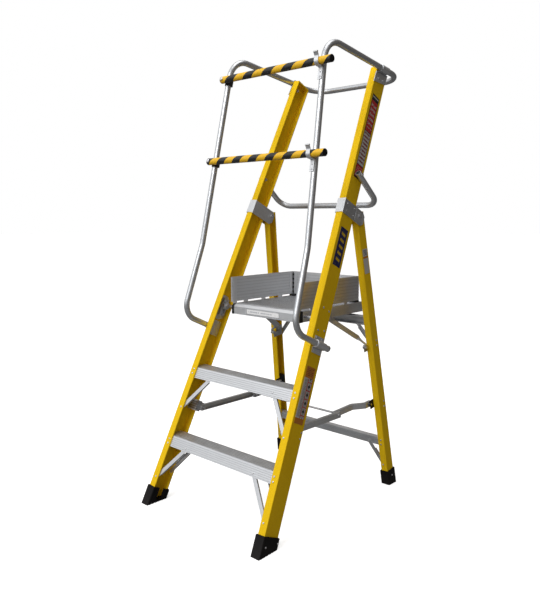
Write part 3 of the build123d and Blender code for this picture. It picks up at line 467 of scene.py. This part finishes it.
def lathe(mesh, centre, profile, sides=20):
    """Turn a (radius, height) profile about a vertical axis through a point."""
    rings = []
    for radius, height in profile:
        ring = []
        for step in range(sides):
            turn = 2 * math.pi * step / sides
            offset = Vector((radius * math.cos(turn), radius * math.sin(turn), height))
            ring.append(mesh.verts.new(centre + offset))
        rings.append(ring)
    for lower, upper in zip(rings, rings[1:]):
        for step in range(sides):
            after = (step + 1) % sides
            mesh.faces.new((lower[step], lower[after], upper[after], upper[step]))
    mesh.faces.new(list(reversed(rings[0])))
    mesh.faces.new(rings[-1])


def corner_dark_line(name, side):
    """Black bead with five lugs up one rear inside corner of the toe boards, drawing a dark line
    with dark notches there.
    """
    low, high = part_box("toe_board_rear")
    inset = PLATE + BEAD_RADIUS
    corner = Vector((side * (high.x - inset), low.y - inset, low.z + BEAD_FOOT))
    height = high.z - low.z - BEAD_SHORT
    mesh = bmesh.new()
    lathe(mesh, corner, [(BEAD_END, 0.0), (BEAD_RADIUS, BEAD_END),
                         (BEAD_RADIUS, height - BEAD_END), (BEAD_END, height)])
    for lug in range(LUGS):
        middle = height * (lug + 0.5) / LUGS
        start = corner + Vector((0, 0, middle - LUG_HEIGHT / 2))
        lathe(mesh, start, [(LUG_END, 0.0), (LUG_RADIUS, LUG_BEVEL),
                            (LUG_RADIUS, LUG_HEIGHT - LUG_BEVEL), (LUG_END, LUG_HEIGHT)])
    data = bpy.data.meshes.new(name)
    mesh.to_mesh(data)
    mesh.free()
    piece = bpy.data.objects.new(name, data)
    SCENE.collection.objects.link(piece)
    data.materials.append(black_plastic)
    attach(piece, "platform")


corner_dark_line("toe_board_dark_line_left", -1)
corner_dark_line("toe_board_dark_line_right", 1)

# ---------------------------------------------------------------- floor, light, camera
FLOOR_SIZE = 80
FLOOR_BOUNCE = (0.20, 0.20, 0.20)        # what the floor throws back at the object
FLOOR_PALE = (0.90, 0.90, 0.90)          # what the camera sees
FLOOR_PALER = (0.93, 0.93, 0.93)
FLOOR_GLOW = 0.62

SKY_FROM = Vector((-0.50, -0.82, 0.28)).normalized()     # towards its bright side
SKY_TURN = (-0.35, 0.9)                  # where it starts and stops brightening
SKY_POWER = (0.13, 0.95)
SKY_WARM = (1.0, 0.90, 0.80, 1)
SKY_COOL = (0.97, 0.985, 1.0, 1)
WHITE = (1, 1, 1, 1)

CAMERA_SPOT = (1.8796, -2.14937, 1.25505)
CAMERA_TILT = math.radians(82.52)
CAMERA_TURN = math.radians(42.43)
CAMERA_LENS = 38.57
SENSOR_WIDTH = 36.0


def white_floor():
    """A floor that the camera sees as near white, but that throws little light back."""
    bpy.ops.mesh.primitive_plane_add(size=FLOOR_SIZE, location=(0, 0, 0))
    floor = bpy.context.active_object
    floor.name = "floor"
    g = Graph("floor_paint")
    seen = g.tree.nodes.new("ShaderNodeLightPath").outputs["Is Camera Ray"]
    pale = g.mix(g.noise(scale=3.0, detail=3.0, rough=0.6), FLOOR_PALE, FLOOR_PALER)
    g.colour(g.mix(seen, FLOOR_BOUNCE, pale))
    g.set(Roughness=0.9, Specular_IOR_Level=0.0, Emission_Color=WHITE)
    g.link(g.both(seen, FLOOR_GLOW), g.shader.inputs["Emission Strength"])
    floor.data.materials.append(g.material)


def studio_sky():
    """White to the camera; to the object, cool and bright on one side, warm and dim behind."""
    world = bpy.data.worlds.new("studio")
    SCENE.world = world
    world.use_nodes = True
    nodes = world.node_tree.nodes
    links = world.node_tree.links
    background = nodes["Background"]
    camera_ray = nodes.new("ShaderNodeLightPath").outputs["Is Camera Ray"]

    facing = nodes.new("ShaderNodeVectorMath")
    facing.operation = "DOT_PRODUCT"
    facing.inputs[1].default_value = SKY_FROM
    links.new(nodes.new("ShaderNodeTexCoord").outputs["Generated"], facing.inputs[0])

    power = nodes.new("ShaderNodeMapRange")
    power.interpolation_type = "SMOOTHSTEP"
    power.inputs["From Min"].default_value, power.inputs["From Max"].default_value = SKY_TURN
    power.inputs["To Min"].default_value, power.inputs["To Max"].default_value = SKY_POWER
    links.new(facing.outputs["Value"], power.inputs["Value"])

    strength = nodes.new("ShaderNodeMix")
    links.new(camera_ray, strength.inputs["Factor"])
    links.new(power.outputs["Result"], strength.inputs["A"])
    strength.inputs["B"].default_value = 1.0
    links.new(strength.outputs["Result"], background.inputs["Strength"])

    tint = nodes.new("ShaderNodeMix")
    tint.data_type = "RGBA"
    links.new(power.outputs["Result"], tint.inputs["Factor"])
    warm, cool = colour_sockets(tint.inputs)
    warm.default_value = SKY_WARM
    cool.default_value = SKY_COOL

    shade = nodes.new("ShaderNodeMix")
    shade.data_type = "RGBA"
    links.new(camera_ray, shade.inputs["Factor"])
    to_object, to_camera = colour_sockets(shade.inputs)
    links.new(colour_sockets(tint.outputs)[0], to_object)
    to_camera.default_value = WHITE
    links.new(colour_sockets(shade.outputs)[0], background.inputs["Color"])


def lamp(name, spot, target, size, power):
    """A round lamp at one point that shines at another."""
    light = bpy.data.lights.new(name, "AREA")
    light.shape = "DISK"
    light.size = size
    light.energy = power
    holder = bpy.data.objects.new(name, light)
    holder.location = spot
    aim = Vector(target) - Vector(spot)
    holder.rotation_euler = aim.to_track_quat("-Z", "Y").to_euler()
    SCENE.collection.objects.link(holder)


white_floor()
studio_sky()
lamp("key", spot=(0.1, -4.2, 4.0), target=(0, 0, 0.9), size=2.4, power=112)
lamp("top", spot=(0.2, 0.4, 4.5), target=(0, 0, 0.8), size=2.5, power=38)

camera_data = bpy.data.cameras.new("camera")
camera_data.lens = CAMERA_LENS
camera_data.sensor_width = SENSOR_WIDTH
camera = bpy.data.objects.new("camera", camera_data)
camera.location = CAMERA_SPOT
camera.rotation_euler = (CAMERA_TILT, 0, CAMERA_TURN)
SCENE.collection.objects.link(camera)
SCENE.camera = camera
SCENE.view_settings.view_transform = "Standard"
